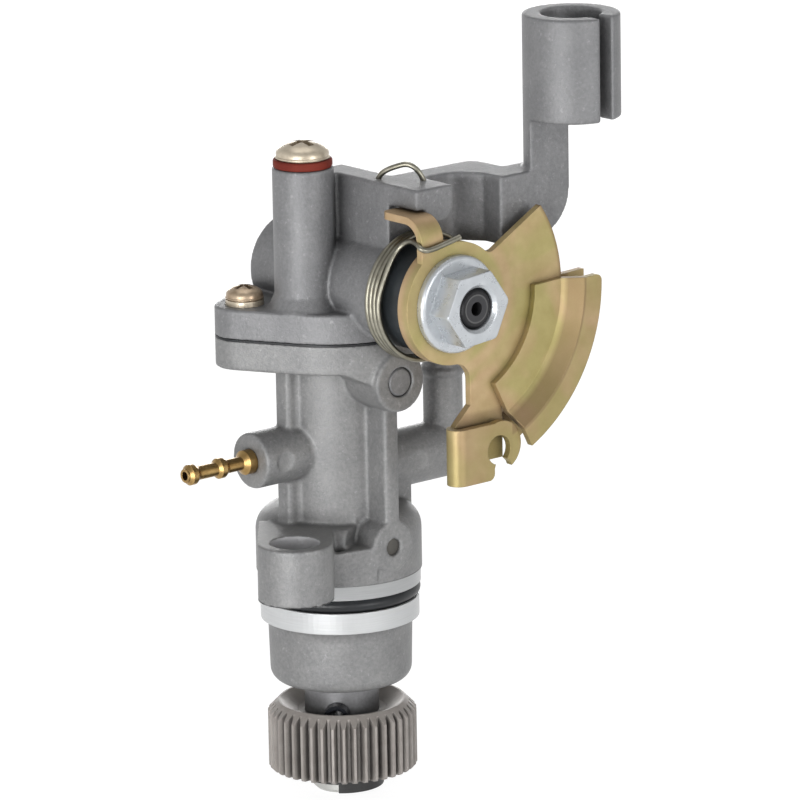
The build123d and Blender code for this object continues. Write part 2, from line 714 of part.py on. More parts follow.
with BuildPart() as lock_washers:
    for x, y in lobe_spots:
        bar(screw_head_r, (x, y, cover_top), (0, 0, 1), lock_t)
        bar(screw_r + thread_gap, (x, y, cover_top), (0, 0, 1), lock_t, Mode.SUBTRACT)
        slab((x, x + screw_head_r), (y, y + lock_split), (cover_top, cover_top + lock_t), Mode.SUBTRACT)
save(lock_washers.part, "lock_washers")

with BuildPart() as bleed_washer:
    bar(bleed_washer_r, (bleed_x, bleed_y, bleed_top), (0, 0, 1), bleed_washer_t)
    bar(bleed_screw_r + thread_gap, (bleed_x, bleed_y, bleed_top), (0, 0, 1), bleed_washer_t, Mode.SUBTRACT)
    fillet(edges().filter_by(GeomType.CIRCLE).sort_by(SortBy.RADIUS)[-2:], 0.3)
save(bleed_washer.part, "bleed_washer")

bleed_head_z = bleed_top + bleed_washer_t
with BuildPart() as bleed_screw:
    bar(bleed_screw_r, (bleed_x, bleed_y, bleed_top - bleed_thread), (0, 0, 1), bleed_thread + bleed_washer_t)
    bar(bleed_head_r, (bleed_x, bleed_y, bleed_head_z), (0, 0, 1), bleed_head_h)
    fillet(edges().filter_by(GeomType.CIRCLE).group_by(Axis.Z)[-1], bleed_head_round)
    for wide, deep in ((bleed_recess_half, bleed_recess_w / 2), (bleed_recess_w / 2, bleed_recess_half)):
        slab((bleed_x - wide, bleed_x + wide), (bleed_y - deep, bleed_y + deep),
             (bleed_head_z + bleed_head_h - bleed_recess_depth, bleed_head_z + bleed_head_h), Mode.SUBTRACT)
save(bleed_screw.part, "bleed_screw")

# Control shaft and what turns with it
with BuildPart() as control_shaft:
    bar(control_r, (0, control_back, lever_z), (0, -1, 0), control_back - hub_back)
    with BuildSketch(Plane.XZ.offset(-hub_back)):
        with Locations((0, lever_z)):
            Circle(control_r)
            Rectangle(flats_w, 2 * control_r, mode=Mode.INTERSECT)
    extrude(amount=hub_back - plate_front - 2 * running_gap)
    bar(stud_r, (0, hub_back, lever_z), (0, -1, 0), hub_back - stud_front)
    chamfer(edges().group_by(Axis.Y)[0], stud_chamfer)
    bar(stud_hole_r, (0, stud_front + 2 * stud_hole_r, lever_z), (0, -1, 0), 2 * stud_hole_r, Mode.SUBTRACT)
    with BuildSketch(Plane.XZ.offset(-eccentric_half)):
        with Locations((0, lever_z)):
            Circle(control_r)
        with Locations((0, lever_z - eccentric_offset)):
            Circle(eccentric_r, mode=Mode.SUBTRACT)
    extrude(amount=2 * eccentric_half, mode=Mode.SUBTRACT)
    for middle, half, depth in ((control_seal_y, control_seal_section + seat_gap, 2 * control_seal_section),
                                (control_clip_y + clip_t / 2, clip_t / 2, clip_groove_d)):
        with BuildSketch(Plane.XZ.offset(-middle - half)):
            with Locations((0, lever_z)):
                Circle(control_r)
                Circle(control_r - depth, mode=Mode.SUBTRACT)
        extrude(amount=2 * half, mode=Mode.SUBTRACT)
save(control_shaft.part, "control_shaft")

with BuildPart() as control_seal:
    with BuildSketch(Plane.XY):
        with Locations((control_r - control_seal_section + seat_gap, control_seal_y)):
            Circle(control_seal_section)
    revolve(axis=Axis((0, 0, 0), (0, 1, 0)))
control_seal.part.locate(Location((0, 0, lever_z)))
save(control_seal.part, "control_seal")

with BuildPart() as control_circlip:
    with BuildSketch(Plane.XZ.offset(-control_clip_y - clip_t + seat_gap)):
        with Locations((0, lever_z)):
            Circle(control_r - clip_groove_d + seat_gap + control_clip_wide)
            Circle(control_r - clip_groove_d + seat_gap, mode=Mode.SUBTRACT)
        with Locations((0, lever_z + control_r)):
            Rectangle(2.6, 2 * control_clip_wide, mode=Mode.SUBTRACT)
    extrude(amount=clip_t - 2 * seat_gap)
save(control_circlip.part, "control_circlip")

with BuildPart() as spring_bush:
    bar(bush_r, (0, bush_back, lever_z), (0, -1, 0), bush_back - hub_back)
    bar(control_r + seat_gap, (0, bush_back, lever_z), (0, -1, 0), bush_back - hub_back, Mode.SUBTRACT)
save(spring_bush.part, "spring_bush")


def ring_sector(profile, start, end):
    """Sheet section turned about the lever axis between two angles above the +X direction."""
    with BuildSketch(Plane.XY.offset(lever_z)) as section:
        Polygon(*profile, align=None)
    turned = revolve(section.sketch, axis=Axis((0, 0, lever_z), (0, -1, 0)), revolution_arc=end - start,
                     mode=Mode.PRIVATE)
    return turned.rotate(Axis((0, 0, lever_z), (0, -1, 0)), start)


def polar(radius, angle):
    """Point of the lever's plane at a radius and an angle from the shaft."""
    return (radius * cos(radians(angle)), lever_z + radius * sin(radians(angle)))


jog_end = jog_r + jog_run
leaf_front = plate_back - 2 * fold_r
with BuildPart() as lever_plate:
    with BuildSketch(Plane.XZ.offset(-plate_back)):
        with BuildLine():
            ThreePointArc(polar(quadrant_r, channel_top_angle), polar(quadrant_r, quadrant_top_angle / 2),
                          polar(quadrant_r, quadrant_top_angle))
            Line(polar(quadrant_r, quadrant_top_angle), polar(hub_r, notch_angle))
            Polyline(polar(hub_r, notch_angle), (0, lever_z), (neck_x, lever_z - hub_r + 1), (neck_x, leaf_top),
                     (back_leaf_right, leaf_top), polar(jog_r, channel_low_angle))
            ThreePointArc(polar(jog_r, channel_low_angle), polar(jog_r, channel_low_angle / 2),
                          polar(jog_r, channel_top_angle))
            Line(polar(jog_r, channel_top_angle), polar(quadrant_r, channel_top_angle))
        make_face()
        with Locations((0, lever_z)):
            Circle(hub_r)
        fillet(vertices().sort_by_distance(polar(hub_r, notch_angle))[0], notch_round)
        fillet(vertices().sort_by_distance((neck_x, lever_z - hub_r))[0], neck_round)
        with Locations(((neck_x + back_leaf_right) / 2, (leaf_top + back_leaf_low) / 2)):
            Rectangle(back_leaf_right - neck_x, leaf_top - back_leaf_low)
        with BuildLine():
            Polyline((fold_x, leaf_bottom), (leaf_right, leaf_bottom), (leaf_right, leaf_top + neck_round),
                     (neck_x, leaf_top + neck_round), (fold_x, leaf_top), close=True)
        make_face()
        with BuildLine():
            Line((tab_left, tab_top - tab_bend - plate_t), (tab_right, tab_top - tab_bend - plate_t))
            Line((tab_right, tab_top - tab_bend - plate_t), (tab_right, lever_z))
            Line((tab_right, lever_z), (tab_left, lever_z))
            Line((tab_left, lever_z), (tab_left, tab_top - tab_bend - plate_t))
        make_face()
    extrude(amount=plate_t)
    bar(hub_r, (0, hub_back, lever_z), (0, -1, 0), hub_back - plate_front)
    add(ring_sector([(jog_r - seat_gap, plate_back), (jog_end, plate_back + flange_jog),
                     (flange_out_r, plate_back + flange_jog), (flange_out_r, plate_front + flange_jog),
                     (jog_end, plate_front + flange_jog), (jog_r - seat_gap, plate_front)],
                    channel_low_angle, channel_top_angle))
    with BuildSketch(Plane.YZ.offset(tab_left)):
        with BuildLine():
            bend = (plate_back + tab_bend, tab_top - plate_t - tab_bend)
            CenterArc(bend, tab_bend + plate_t, 90, 90)
            CenterArc(bend, tab_bend, 90, 90)
            Line((plate_front, bend[1]), (plate_back, bend[1]))
            Polyline((bend[0], tab_top - plate_t), (tab_reach, tab_top - plate_t), (tab_reach, tab_top),
                     (bend[0], tab_top))
        make_face()
    extrude(amount=tab_right - tab_left)
    fillet(edges().filter_by(Axis.Z).group_by(Axis.Y)[-1], tab_round)
    with BuildSketch(Plane.XY.offset(leaf_bottom)):
        with Locations((fold_x, plate_back - fold_r)):
            Circle(fold_r)
            Circle(fold_r - plate_t, mode=Mode.SUBTRACT)
            Rectangle(2 * fold_r, 2 * fold_r, align=(Align.MIN, Align.CENTER), mode=Mode.SUBTRACT)
    extrude(amount=leaf_top - leaf_bottom)
    with BuildSketch(Plane.XZ.offset(-leaf_front - plate_t)):
        with BuildLine():
            Polyline((fold_x, leaf_bottom), (leaf_right, leaf_bottom), (leaf_right, hook_slot_z - hook_slot_r),
                     (hook_x, hook_z), (hook_x, leaf_top), (fold_x, leaf_top), close=True)
        make_face()
        fillet(vertices().sort_by_distance((leaf_right, leaf_bottom))[0], leaf_round)
        with Locations((hook_x, hook_z)):
            Circle(hook_r)
        with Locations((hook_slot_x, hook_slot_z)):
            Circle(hook_slot_r, mode=Mode.SUBTRACT)
        with BuildLine():
            Polyline((hook_slot_x, hook_slot_z), (leaf_right, hook_slot_z - hook_slot_r - leaf_round / 2),
                     (leaf_right, hook_z - 2 * hook_r), (hook_x + hook_r, hook_z - 2 * hook_r),
                     (hook_slot_x + hook_slot_r, hook_slot_z - hook_slot_r), close=True)
        make_face(mode=Mode.SUBTRACT)
    extrude(amount=plate_t)
    with BuildSketch(Plane.XZ.offset(-hub_back)):
        with Locations((0, lever_z)):
            Circle(control_r + seat_gap)
            Rectangle(flats_w + 2 * seat_gap, 2 * control_r + 1, mode=Mode.INTERSECT)
    extrude(amount=hub_back - plate_front, mode=Mode.SUBTRACT)
save(lever_plate.part, "lever_plate")

with BuildPart() as lever_channel:
    add(ring_sector([(channel_in_r, plate_front), (channel_fold_r, plate_front),
                     (channel_rise_r, plate_front - channel_lift), (channel_out_r, plate_front - channel_lift),
                     (channel_out_r, plate_front - channel_lift - channel_t),
                     (channel_rise_r - channel_t * 0.4, plate_front - channel_lift - channel_t),
                     (channel_fold_r - channel_t * 0.4, plate_front - channel_t),
                     (channel_in_r, plate_front - channel_t)], channel_low_angle, channel_top_angle))
    fillet(edges().filter_by(Axis.Y).sort_by_distance((channel_out_r, plate_front, lever_z))[0], channel_round)
save(lever_channel.part, "lever_channel")

with BuildPart() as flange_nut:
    bar(nut_flange_r, (0, plate_front, lever_z), (0, -1, 0), nut_flange_t)
    fillet(edges().filter_by(GeomType.CIRCLE).sort_by(Axis.Y)[0], nut_flange_t / 2)
    with BuildSketch(Plane.XZ.offset(-plate_front)):
        with Locations(Location((0, lever_z), nut_turn)):
            RegularPolygon(nut_hex / 2, 6, major_radius=False)
    extrude(amount=plate_front - nut_front)
    with BuildSketch(Plane.XY) as nut_cone:
        Polygon((0, 0), (nut_flange_r + 1, 0), (nut_flange_r + 1, nut_front + nut_chamfer + 1),
                (nut_face_r, nut_front), (0, nut_front), align=None)
    nut_limit = revolve(nut_cone.sketch, axis=Axis.Y, mode=Mode.PRIVATE)
    add(nut_limit.moved(Location((0, 0, lever_z))), mode=Mode.INTERSECT)
    bar(stud_r + thread_gap, (0, plate_front, lever_z), (0, -1, 0), plate_front - nut_front, Mode.SUBTRACT)
    chamfer(edges().filter_by(GeomType.CIRCLE).group_by(Axis.Y)[0].sort_by(SortBy.RADIUS)[0], nut_sink)
save(flange_nut.part, "flange_nut")

# Return spring: close coil, a hooked leg over the cover's web and a leg across the stop tab
spring_travel = spring_pitch * (spring_turns + spring_tail)
leg_x = lug_right + spring_wire + leg_gap
tab_leg_x = tab_left - leg_side
leg_y = plate_front - spring_wire - leg_gap
leg_z = lever_z + hub_r + spring_wire
start_angle = atan2(sqrt(spring_r ** 2 - leg_x ** 2), leg_x)
coil_plane = Plane(origin=(0, spring_back, lever_z), x_dir=(cos(start_angle), 0, sin(start_angle)),
                   z_dir=(0, -1, 0))
wound = coil_plane.from_local_coords(Edge.make_helix(spring_pitch, spring_travel, spring_r, lefthand=True))
web_leg_x = web_left - spring_wire - leg_gap
arch_y = web_front - spring_wire / 2
rear_leg = FilletPolyline((web_leg_x, arch_y + 2 * arch_rise, beam_top - spring_wire),
                          (web_leg_x, arch_y + arch_rise, beam_top + 2 * spring_wire),
                          ((web_left + lug_right) / 2, arch_y, beam_top + arch_rise),
                          (leg_x, arch_y - arch_rise, beam_top + spring_wire), wound @ 0, radius=spring_wire)
front_leg = FilletPolyline(wound @ 1, (tab_leg_x, plate_back, leg_z + spring_wire), (tab_leg_x, leg_y, leg_z),
                           (tab_left, leg_y, leg_z), (tab_right + leg_over, leg_y, leg_z + 2 * spring_wire),
                           radius=spring_wire)
with BuildPart() as return_spring:
    for path in (rear_leg, wound, front_leg):
        with BuildSketch(Plane(origin=path @ 0, z_dir=path % 0)):
            Circle(spring_wire)
        sweep(path=path, is_frenet=path is wound)
    with Locations(wound @ 0, wound @ 1):
        Sphere(spring_wire)
save(return_spring.part, "return_spring")
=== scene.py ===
from math import acos, cos, pi, radians, sin

import bmesh
import bpy
import numpy as np
from mathutils import Matrix, Vector


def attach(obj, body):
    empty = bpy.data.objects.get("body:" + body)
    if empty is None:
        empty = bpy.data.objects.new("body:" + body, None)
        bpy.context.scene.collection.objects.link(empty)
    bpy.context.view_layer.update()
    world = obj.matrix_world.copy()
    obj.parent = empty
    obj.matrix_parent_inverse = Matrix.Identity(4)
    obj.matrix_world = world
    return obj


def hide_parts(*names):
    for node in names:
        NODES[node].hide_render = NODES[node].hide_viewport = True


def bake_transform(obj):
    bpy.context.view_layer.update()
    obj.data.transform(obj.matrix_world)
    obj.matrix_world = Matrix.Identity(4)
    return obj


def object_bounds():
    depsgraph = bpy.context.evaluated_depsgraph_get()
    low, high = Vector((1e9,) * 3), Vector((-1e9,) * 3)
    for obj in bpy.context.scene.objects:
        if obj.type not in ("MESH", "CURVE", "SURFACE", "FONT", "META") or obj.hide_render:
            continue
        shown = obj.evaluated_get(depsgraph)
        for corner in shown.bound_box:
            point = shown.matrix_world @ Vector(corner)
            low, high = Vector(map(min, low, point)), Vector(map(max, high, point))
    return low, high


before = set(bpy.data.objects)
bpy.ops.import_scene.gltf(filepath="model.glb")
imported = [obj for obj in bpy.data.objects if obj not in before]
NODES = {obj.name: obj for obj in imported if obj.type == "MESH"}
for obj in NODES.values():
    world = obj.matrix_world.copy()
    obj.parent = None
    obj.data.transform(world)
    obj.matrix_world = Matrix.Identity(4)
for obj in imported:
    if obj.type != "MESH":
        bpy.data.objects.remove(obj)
cad_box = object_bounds()
MM = 0.001

# Camera: direction, roll and distance that put the pump where the photograph has it
AZIMUTH, ELEVATION, ROLL = radians(-40.0), radians(14.3), radians(1.0)
FRAME_PX = 800.0
FOCAL_PX = 6500.0
DISTANCE = 0.956
ORIGIN_PX = (339.3, 565.0)
SENSOR = 36.0

# Sizes that the pieces share with the frame, in millimetres
LEVER_Z = 44.2
BAND_R = 11.3
SEAT_CUT = 0.02
EAR_BORE = (-15.9, -9.4, 3.62)
TEETH_FOOT = -30.4
SPRING_R = 9.2
SPRING_LEG_X = 3.95
SPRING_BACK = -18.1
SPRING_PITCH = 0.81
SPRING_TURNS = 3.72
WIRE_R = 0.4
VALVE_ENDS = ((-13.48, 0.0, 18.8), (-10.8, 0.0, 18.8))
LIFT_ENDS = ((0.0, 0.0, 11.98), (0.0, 0.0, 8.42))
WELD = 0.001

# Zones of the lever's sheet and of the stud's end, in millimetres. The ring and fold zones of the sheet mark
# where shade is painted.
HUB_RIM = (8.6, 9.6, 10.4, 12.0)
TAB_DEPTH = (-27.0, -25.5)
SLANT_SHADE_RING = (19.6, 20.1, 22.0, 22.5)
LEAF_SHADE_LEVELS = (27.2, 27.8)
LEAF_SHADE_RIGHT = 8.5
STUD_FACE = -31.0
STUD_RING = (1.9, 2.1)

# Screws: shank foot, underside of the head and top, radii, and the recess's half length, width and depth
SCREW_SPOTS = [(14.2 * cos(radians(a)), 14.2 * sin(radians(a))) for a in (165.0, 345.0)]
SCREW_LEVELS = (33.0, 42.0, 44.0)
SCREW_RADII = (1.5, 2.8)
SCREW_SLOT = (1.6, 0.8, 1.2)
BLEED_SPOT = (-8.2, -3.5)
BLEED_LEVELS = (54.8, 63.0, 65.5)
BLEED_RADII = (2.5, 4.0)
BLEED_SLOT = (2.2, 1.1, 1.3)

# Pan head: rim as shares of its radius and height, then a dome
HEAD_RIM = ((0.9, 0.0), (0.9, 0.04), (1.0, 0.08), (1.0, 0.16), (0.965, 0.2), (0.955, 0.38))
DOME_STEPS = 7
DOME_BEND = 0.9
TURN_STEPS = 64

# Rounding of the castings. It fades in over a span of levels above the seat and out at the joint face.
CAST_VOXEL = 0.24
CAST_PASSES = 3
SEAT_FADE = (0.1, 1.2)
JOINT_FADE = (36.0, 36.3)
COVER_FADE = (37.1, 37.6)

# Bores whose mouths stay sharp: axes across, centre, radius, axis along, and how deep the mouth reaches
FITTED_BORES = (((0, 2), (0.0, 30.4), 2.6, 1, -13.0),
                ((0, 2), (0.0, 5.25), 1.6, 1, -11.0),
                ((1, 2), (0.0, 18.8), 2.0, 0, -15.0))
MOUTH_FADE = 0.5

# Edges that bend by more degrees than this stay sharp
CAST_ANGLE = 50
CRISP_ANGLE = 25
WIRE_ANGLE = 60
SCREW_ANGLE = 35

# How far the roughness runs either side of its mean
ROUGH_SPREAD = 0.06

# Levels of the studio light
FLOOR_SHARE = 0.75
FLOOR_WHITE = 1.22
SKY_LOW = 0.47
SKY_HIGH = 0.25
MIRROR_LOW = 0.9
MIRROR_HIGH = 0.4


def add_camera():
    back = Vector((cos(ELEVATION) * sin(AZIMUTH), -cos(ELEVATION) * cos(AZIMUTH), sin(ELEVATION)))
    level = Vector((cos(AZIMUTH), sin(AZIMUTH), 0.0))
    above = back.cross(level)
    right = cos(ROLL) * level - sin(ROLL) * above
    up = sin(ROLL) * level + cos(ROLL) * above
    off_x = (ORIGIN_PX[0] - FRAME_PX / 2) / FOCAL_PX * DISTANCE
    off_y = (ORIGIN_PX[1] - FRAME_PX / 2) / FOCAL_PX * DISTANCE
    place = DISTANCE * back - off_x * right + off_y * up
    data = bpy.data.cameras.new("camera")
    data.sensor_width = SENSOR
    data.lens = FOCAL_PX / FRAME_PX * SENSOR
    data.clip_start = 0.01
    data.clip_end = 50.0
    camera = bpy.data.objects.new("camera", data)
    bpy.context.collection.objects.link(camera)
    camera.matrix_world = Matrix(
        ((right.x, up.x, back.x, place.x), (right.y, up.y, back.y, place.y),
         (right.z, up.z, back.z, place.z), (0, 0, 0, 1)))
    bpy.context.scene.camera = camera


# Shader nodes
def put(tree, socket, value):
    """Link a socket, or set its number or colour."""
    if isinstance(value, bpy.types.NodeSocket):
        tree.links.new(value, socket)
    else:
        if socket.type == "RGBA" and len(value) == 3:
            value = (*value, 1.0)
        socket.default_value = value


def math_node(tree, kind, a, b=0.0):
    node = tree.nodes.new("ShaderNodeMath")
    node.operation = kind
    put(tree, node.inputs[0], a)
    put(tree, node.inputs[1], b)
    return node.outputs[0]


def span_node(tree, value, low, high, to_low=0.0, to_high=1.0):
    """Number that runs from to_low to to_high while the value runs from low to high."""
    node = tree.nodes.new("ShaderNodeMapRange")
    node.clamp = True
    for socket, number in zip(node.inputs[:5], (value, low, high, to_low, to_high)):
        put(tree, socket, number)
    return node.outputs[0]


def blend_node(tree, factor, a, b):
    """Number between a and b."""
    node = tree.nodes.new("ShaderNodeMix")
    node.data_type = "FLOAT"
    put(tree, node.inputs[0], factor)
    put(tree, node.inputs[2], a)
    put(tree, node.inputs[3], b)
    return node.outputs[0]


class Shader:
    """Node material with short calls for what repeats."""

    def __init__(self, name):
        self.material = bpy.data.materials.new(name)
        self.material.use_nodes = True
        self.tree = self.material.node_tree
        self.bsdf = self.tree.nodes["Principled BSDF"]
        self.coord = self.tree.nodes.new("ShaderNodeTexCoord").outputs["Object"]

    def put(self, socket, value):
        put(self.tree, socket, value)

    def set(self, name, value):
        self.put(self.bsdf.inputs[name], value)

    def noise(self, size_mm, detail=4.0, rough=0.55, distortion=0.0, stretch=(1, 1, 1)):
        """Noise whose features are about the given size."""
        scaled = self.tree.nodes.new("ShaderNodeMapping")
        self.put(scaled.inputs["Vector"], self.coord)
        scaled.inputs["Scale"].default_value = stretch
        node = self.tree.nodes.new("ShaderNodeTexNoise")
        self.put(node.inputs["Vector"], scaled.outputs[0])
        node.inputs["Scale"].default_value = 1.0 / (size_mm * MM)
        node.inputs["Detail"].default_value = detail
        node.inputs["Roughness"].default_value = rough
        node.inputs["Distortion"].default_value = distortion
        return node.outputs["Fac"]

    def math(self, kind, a, b=0.0):
        return math_node(self.tree, kind, a, b)

    def times(self, a, b):
        return math_node(self.tree, "MULTIPLY", a, b)

    def span(self, value, low, high, to_low=0.0, to_high=1.0):
        return span_node(self.tree, value, low, high, to_low, to_high)

    def ring(self, value, levels):
        """1 between the middle two of four levels, and 0 outside the outer two."""
        return self.times(self.span(value, *levels[:2]), self.span(value, *levels[2:], 1.0, 0.0))

    def mix(self, factor, a, b):
        node = self.tree.nodes.new("ShaderNodeMix")
        node.data_type = "RGBA"
        self.put(node.inputs[0], factor)
        self.put(node.inputs[6], a)
        self.put(node.inputs[7], b)
        return node.outputs[2]

    def blend(self, factor, a, b):
        return blend_node(self.tree, factor, a, b)

    def axes(self):
        node = self.tree.nodes.new("ShaderNodeSeparateXYZ")
        self.put(node.inputs[0], self.coord)
        return node.outputs

    def radius(self, a, b, centre=(0.0, 0.0)):
        """Distance from an axis, in millimetres."""
        da = self.math("SUBTRACT", self.math("DIVIDE", a, MM), centre[0])
        db = self.math("SUBTRACT", self.math("DIVIDE", b, MM), centre[1])
        return self.math("SQRT", self.math("ADD", self.times(da, da), self.times(db, db)))

    def bump(self, height, depth_mm, round_mm=0.0):
        node = self.tree.nodes.new("ShaderNodeBump")
        node.inputs["Distance"].default_value = depth_mm * MM
        self.put(node.inputs["Height"], height)
        if round_mm:
            edge = self.tree.nodes.new("ShaderNodeBevel")
            edge.samples = 4
            edge.inputs["Radius"].default_value = round_mm * MM
            self.put(node.inputs["Normal"], edge.outputs[0])
        self.set("Normal", node.outputs[0])

    def shade(self, color, reach_mm, depth):
        """Paint shade into the colour of recesses that are narrower than the given reach."""
        node = self.tree.nodes.new("ShaderNodeAmbientOcclusion")
        node.samples = 6
        node.inputs["Distance"].default_value = reach_mm * MM
        hidden = self.span(node.outputs["AO"], 0.1, 0.85, depth, 0.0)
        return self.mix(hidden, color, (0.01, 0.01, 0.011))


def plain(name, dark, light, rough, metal=1.0, patch_mm=3.0, grain_mm=0.3, depth_mm=0.01, round_mm=0.12,
          gloss=0.5):
    """Material with soft patches of two tones, a fine grain and slightly rounded edges."""
    shader = Shader(name)
    patches = shader.span(shader.noise(patch_mm, 5.0), 0.3, 0.7)
    grain = shader.noise(grain_mm, 3.0, 0.6)
    tone = shader.blend(0.3, patches, grain)
    shader.set("Base Color", shader.mix(tone, dark, light))
    shader.set("Metallic", metal)
    shader.set("Specular IOR Level", gloss)
    shader.set("Roughness", shader.span(grain, 0.3, 0.7, rough - ROUGH_SPREAD, rough + ROUGH_SPREAD))
    shader.bump(grain, depth_mm, round_mm)
    return shader


def casting(name, dark, light, bands=False):
    """Sand-grained die casting, with painted shade in its recesses. Where asked, it has bright turned bands
    round the collar and an ear hole painted paler, a painted highlight for the light its far wall reflects.
    """
    shader = Shader(name)
    x, y, z = shader.axes()
    clouds = shader.span(shader.noise(4.0, 4.0, 0.6), 0.32, 0.7)
    speck = shader.noise(0.5, 2.0, 0.7)
    sand = shader.noise(0.22, 1.0, 0.5)
    tone = shader.blend(0.6, clouds, shader.span(speck, 0.3, 0.7))
    fleck = shader.span(shader.noise(0.75, 3.0, 0.7), 0.6, 0.72, 0.0, 0.3)
    # Painted shade darkens the casting's recesses.
    color = shader.shade(shader.mix(fleck, shader.mix(tone, dark, light), (0.5, 0.5, 0.5)), 3.5, 0.8)
    rough = shader.span(speck, 0.3, 0.7, 0.42, 0.56)
    height = shader.blend(0.4, speck, sand)
    if bands:
        # Painted highlight: the ear hole is painted paler, for the light its far wall reflects.
        lit_bore = shader.math("LESS_THAN", shader.radius(x, y, EAR_BORE[:2]), EAR_BORE[2])
        color = shader.mix(lit_bore, color, (0.42, 0.42, 0.43))
        reach = shader.radius(x, y)
        turned = shader.times(shader.math("LESS_THAN", z, SEAT_CUT * MM),
                             shader.math("GREATER_THAN", reach, BAND_R))
        lines = shader.noise(0.16, 2.0, 0.6, stretch=(0.03, 0.03, 1.0))
        color = shader.mix(turned, color, shader.mix(lines, (0.47, 0.48, 0.485), (0.62, 0.63, 0.635)))
        rough = shader.blend(turned, rough, 0.32)
        height = shader.blend(turned, height, shader.times(lines, 0.2))
    shader.set("Base Color", color)
    shader.set("Metallic", 0.3)
    shader.set("Roughness", rough)
    shader.bump(height, 0.075, 0.2)
    return shader


def chromate(name):
    """Yellow chromate on sheet steel: olive gold with pink drifts. The slanted flange, the outer band and the
    lower fold are painted browner as painted shade, and recesses get painted shade.
    """
    shader = Shader(name)
    x, y, z = shader.axes()
    reach = shader.radius(x, z, (0.0, LEVER_Z))
    rim = shader.ring(reach, HUB_RIM)
    tab = shader.span(y, TAB_DEPTH[0] * MM, TAB_DEPTH[1] * MM)
    folded = shader.math("MAXIMUM", tab, shader.times(rim, 0.8))
    loose = shader.span(shader.noise(9.0, 2.0, 0.5, 0.8), 0.42, 0.72)
    drift = shader.math("MAXIMUM", loose, folded)
    cloud = shader.span(shader.noise(3.4, 4.0, 0.55), 0.25, 0.75)
    grain = shader.noise(0.22, 3.0, 0.6)
    gold = shader.mix(cloud, (0.355, 0.300, 0.115), (0.440, 0.375, 0.160))
    pink = shader.mix(cloud, (0.440, 0.300, 0.160), (0.560, 0.405, 0.240))
    sheet = shader.mix(drift, gold, pink)
    # Painted shade: the slanted flange right of the split, the outer band beyond it and the lower fold left
    # of the split are painted browner.
    slant_shade = shader.times(shader.ring(reach, SLANT_SHADE_RING), shader.math("GREATER_THAN", x, LEAF_SHADE_RIGHT * MM))
    strip_shade = shader.times(shader.span(reach, *SLANT_SHADE_RING[2:]), 0.25)
    low = shader.span(z, LEAF_SHADE_LEVELS[0] * MM, LEAF_SHADE_LEVELS[1] * MM, 0.3, 0.0)
    leaf_shade = shader.times(low, shader.math("LESS_THAN", x, LEAF_SHADE_RIGHT * MM))
    sheet_shade = shader.math("MAXIMUM", shader.times(slant_shade, 0.62), shader.math("MAXIMUM", strip_shade, leaf_shade))
    # The browner shade zones are mixed in here, then recesses get painted shade.
    color = shader.shade(shader.mix(sheet_shade, sheet, (0.20, 0.125, 0.065)), 2.5, 0.6)
    shader.set("Base Color", color)
    shader.set("Metallic", 0.55)
    shader.set("Roughness", shader.span(grain, 0.3, 0.7, 0.4, 0.52))
    shader.bump(shader.math("ADD", grain, cloud), 0.006, 0.18)
    return shader


def stud(name):
    """Black steel shaft whose threaded end shows a paler ring round its hole."""
    shader = Shader(name)
    x, y, z = shader.axes()
    reach = shader.radius(x, z, (0.0, LEVER_Z))
    face = shader.math("LESS_THAN", y, STUD_FACE * MM)
    inner, outer = STUD_RING
    ring = shader.times(shader.math("GREATER_THAN", reach, inner), shader.math("LESS_THAN", reach, outer))
    flat = shader.math("LESS_THAN", reach, inner)
    grain = shader.noise(0.3, 3.0, 0.6)
    steel = shader.mix(grain, (0.012, 0.012, 0.013), (0.030, 0.030, 0.032))
    color = shader.mix(shader.times(face, flat), steel, (0.045, 0.045, 0.048))
    color = shader.mix(shader.times(face, ring), color, (0.11, 0.11, 0.11))
    shader.set("Base Color", color)
    shader.set("Metallic", 0.6)
    shader.set("Roughness", 0.38)
    shader.bump(grain, 0.01, 0.1)
    return shader


def powder_gear(name):
    """Sintered steel, with painted shade between the teeth, and painted near black under the teeth's foot as
    painted shadow on the boss.
    """
    shader = Shader(name)
    z = shader.axes()[2]
    patches = shader.span(shader.noise(2.2, 4.0), 0.3, 0.7)
    grain = shader.noise(0.35, 3.0, 0.6)
    tone = shader.blend(0.4, patches, grain)
    metal = shader.mix(tone, (0.26, 0.235, 0.218), (0.36, 0.335, 0.312))
    # Painted shade darkens the spaces between the teeth.
    shaded_gaps = shader.shade(metal, 1.3, 1.0)
    # Painted shadow: the gear under the teeth's foot is painted near black.
    below = shader.math("LESS_THAN", z, TEETH_FOOT * MM)
    shader.set("Base Color", shader.mix(below, shaded_gaps, (0.03, 0.03, 0.03)))
    shader.set("Metallic", 0.4)
    shader.set("Roughness", 0.5)
    shader.bump(grain, 0.03, 0.1)
    return shader


def turned_shaft(name):
    """Ground steel, painted brighter under the gear's teeth: a painted highlight on the shaft's end where
    light catches it.
    """
    shader = Shader(name)
    z = shader.axes()[2]
    grain = shader.noise(0.5, 3.0, 0.6)
    steel = shader.mix(grain, (0.13, 0.13, 0.13), (0.25, 0.25, 0.26))
    # Painted highlight: the shaft's end under the teeth is painted brighter.
    lit_tail = shader.math("LESS_THAN", z, TEETH_FOOT * MM)
    shader.set("Base Color", shader.mix(lit_tail, steel, (0.50, 0.50, 0.48)))
    shader.set("Metallic", 0.7)
    shader.set("Roughness", 0.38)
    shader.bump(grain, 0.01, 0.1)
    return shader


def dress(node, shader):
    """Give a CAD node its material."""
    slots = NODES[node].data.materials
    slots.clear()
    slots.append(shader.material)


# Mesh helpers
def link(name, mesh, shader):
    piece = bpy.data.objects.new(name, mesh)
    bpy.context.collection.objects.link(piece)
    mesh.materials.clear()
    mesh.materials.append(shader.material)
    return piece


